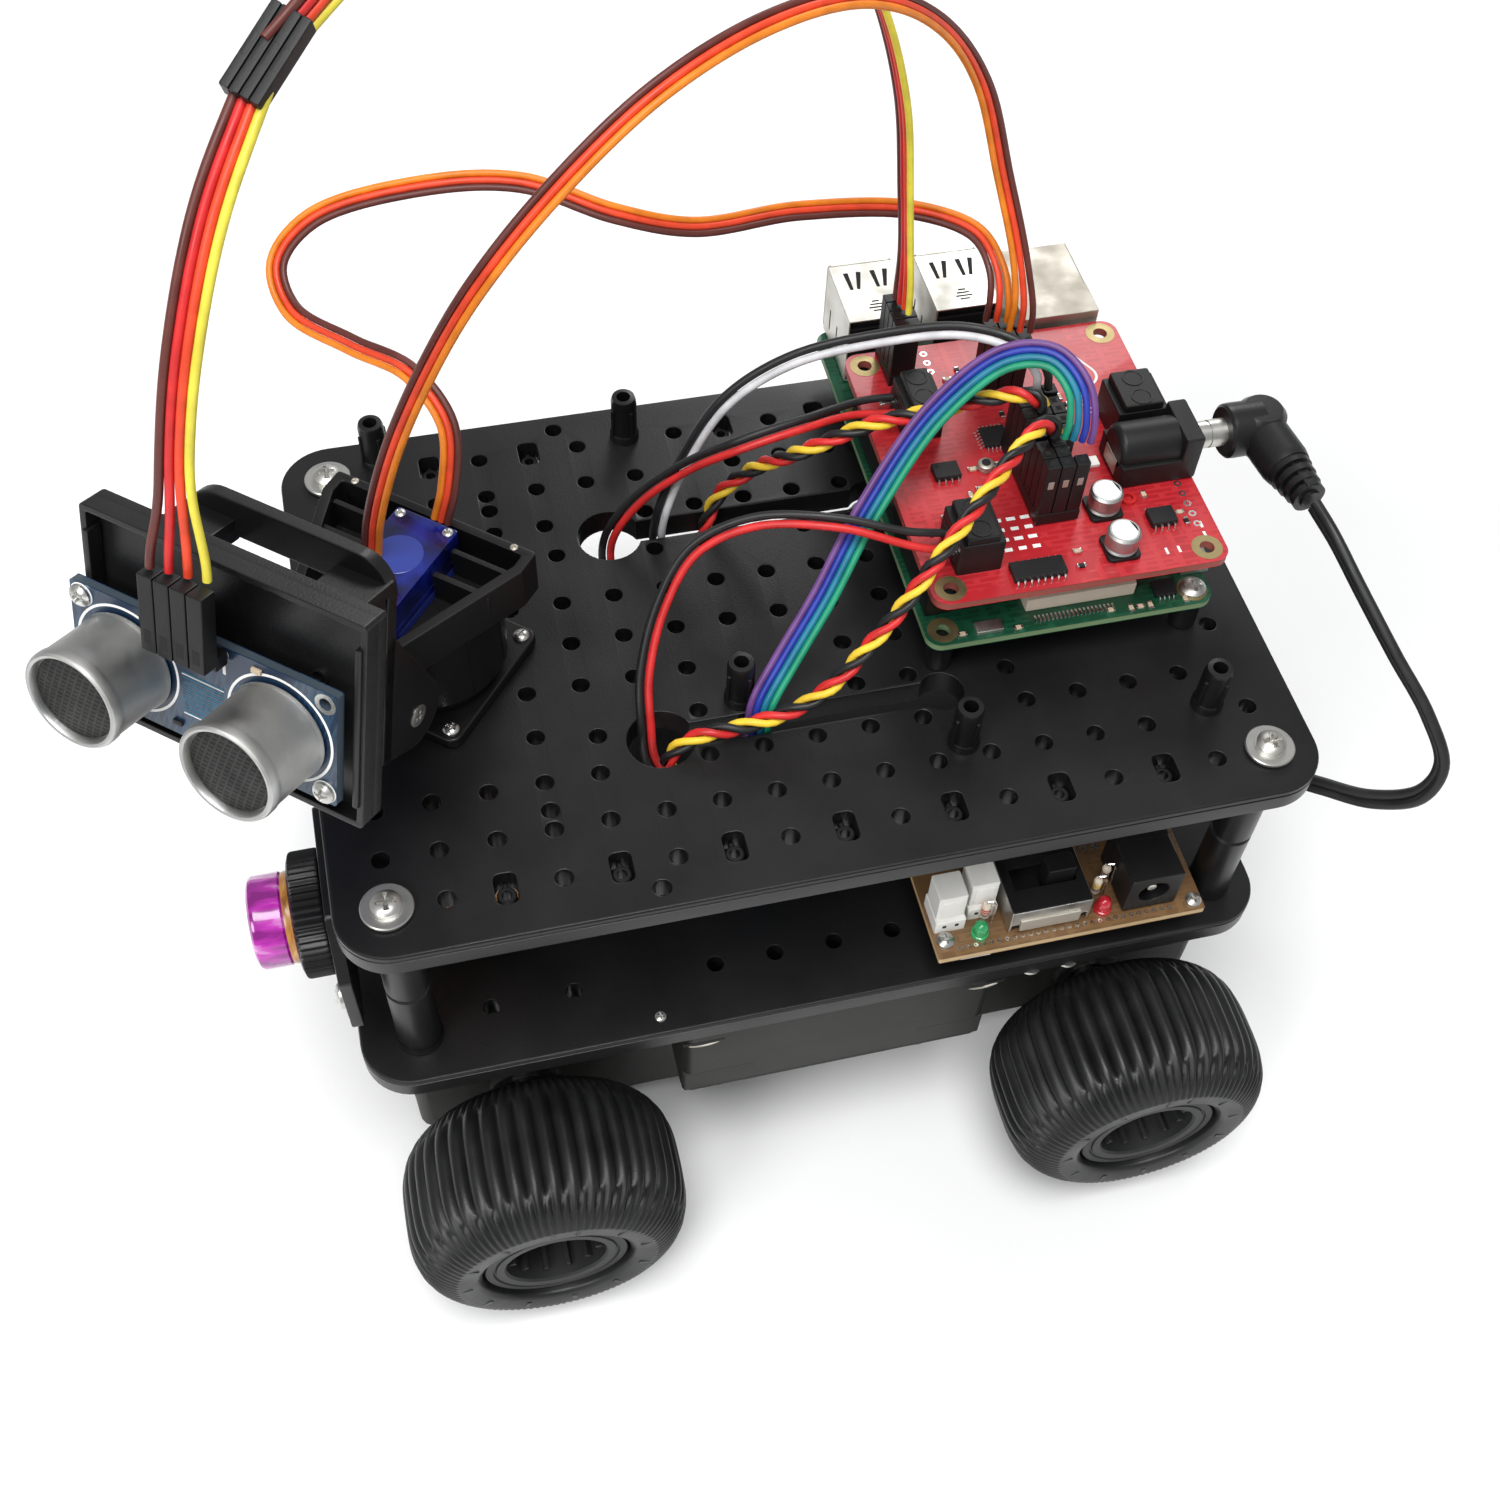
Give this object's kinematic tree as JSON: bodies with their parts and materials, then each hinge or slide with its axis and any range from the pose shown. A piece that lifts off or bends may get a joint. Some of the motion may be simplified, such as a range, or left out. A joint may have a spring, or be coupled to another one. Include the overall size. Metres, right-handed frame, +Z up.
{
  "type": "four wheel robot chassis",
  "caption": "Wheeled robot chassis with two perforated decks, ribbed tyres, a panning and tilting ultrasonic sensor head, a tube sensor, stacked circuit boards and leads.",
  "frame": {"origin": "on the floor under the middle of the robot's own box, leads and cord left out", "axes": "+Z up, +X to the robot's left side, -Y to its front, where the sensor head is"},
  "size_m": [0.1748, 0.2327, 0.2615],
  "materials": {
    "deck_black": "satin moulded, fine grain",
    "tub_black": "satin moulded",
    "post_black": "moulded, steel screw on top",
    "tyre": "ribbed rubber",
    "hub": "satin",
    "motor": "plated can",
    "cell": "shrink wrap",
    "tray": "moulded",
    "board_green": "solder mask",
    "board_red": "solder mask",
    "board_brown": "phenolic board",
    "board_blue": "solder mask",
    "tin": "tinned shell",
    "connector_black": "moulded",
    "head_black": "moulded, satin",
    "servo_blue": "translucent shell",
    "can": "satin turned can, black mesh front",
    "sensor_orange": "moulded, magenta lens",
    "switch_steel": "plated frame",
    "lead": "soft insulation",
    "cord_black": "soft insulation"
  },
  "bodies": {
    "chassis": {"top_plate": "deck_black", "lower_plate": "deck_black", "lower_tub": "tub_black", "post_front_left": "post_black", "post_rear_left": "post_black", "post_front_right": "post_black", "post_rear_right": "post_black", "battery_tray": "tray", "battery_cell_front": "cell", "battery_cell_middle": "cell", "battery_cell_rear": "cell", "motor_front_left": "motor", "motor_front_right": "motor", "motor_rear_left": "motor", "motor_rear_right": "motor", "computer_board": "board_green", "usb_socket_front": "tin", "usb_socket_rear": "tin", "network_socket": "tin", "stacking_header": "connector_black", "signal_plug_block": "connector_black", "expansion_power_jack": "connector_black", "charge_jack": "connector_black", "power_plug": "connector_black", "expansion_board": "board_red", "power_board": "board_brown", "power_switch_frame": "switch_steel", "proximity_barrel": "sensor_orange", "proximity_front_nut": "head_black", "proximity_rear_nut": "head_black", "proximity_bracket": "head_black", "pan_base": "head_black", "sonar_lead_rear": "lead", "pan_servo_lead": "lead", "tilt_servo_lead": "lead", "motor_lead_left": "lead", "motor_lead_right": "lead", "proximity_lead": "lead", "sense_lead": "lead", "ribbon_lead": "lead", "supply_lead": "lead", "power_cord": "cord_black"},
    "switch_slider": {"power_switch_slider": "connector_black"},
    "pan_head": {"pan_servo": "servo_blue", "pan_yoke": "head_black", "tilt_servo": "servo_blue"},
    "sonar_head": {"sonar_bracket": "head_black", "sonar_board": "board_blue", "sonar_can_left": "can", "sonar_can_right": "can", "sonar_plug": "connector_black", "sonar_lead_front": "lead"},
    "wheel_front_left": {"hub_front_left": "hub", "tyre_front_left": "tyre"},
    "wheel_front_right": {"hub_front_right": "hub", "tyre_front_right": "tyre"},
    "wheel_rear_left": {"hub_rear_left": "hub", "tyre_rear_left": "tyre"},
    "wheel_rear_right": {"hub_rear_right": "hub", "tyre_rear_right": "tyre"}
  },
  "joints": [
    {"name": "wheel_front_left_spin", "type": "hinge", "parent": "chassis", "child": "wheel_front_left", "pos_m": [0.0714, -0.04679, 0.028], "axis": [1, 0, 0], "continuous": true},
    {"name": "wheel_front_right_spin", "type": "hinge", "parent": "chassis", "child": "wheel_front_right", "pos_m": [-0.0714, -0.04679, 0.028], "axis": [1, 0, 0], "continuous": true},
    {"name": "wheel_rear_left_spin", "type": "hinge", "parent": "chassis", "child": "wheel_rear_left", "pos_m": [0.0714, 0.07771, 0.028], "axis": [1, 0, 0], "continuous": true},
    {"name": "wheel_rear_right_spin", "type": "hinge", "parent": "chassis", "child": "wheel_rear_right", "pos_m": [-0.0714, 0.07771, 0.028], "axis": [1, 0, 0], "continuous": true},
    {"name": "head_pan", "type": "hinge", "parent": "chassis", "child": "pan_head", "pos_m": [0, -0.05079, 0.13], "axis": [0, 0, 1], "range_deg": [-140, 40], "deforming": ["sonar_lead_rear", "pan_servo_lead", "tilt_servo_lead"]},
    {"name": "head_tilt", "type": "hinge", "parent": "pan_head", "child": "sonar_head", "pos_m": [0.02114, -0.06854, 0.143], "axis": [-0.6428, -0.766, 0], "range_deg": [-46, 32], "deforming": ["sonar_lead_front"]},
    {"name": "power_switch_slide", "type": "slide", "parent": "chassis", "child": "switch_slider", "axis": [0, 1, 0], "range_m": [-0.006, 0]}
  ]
}
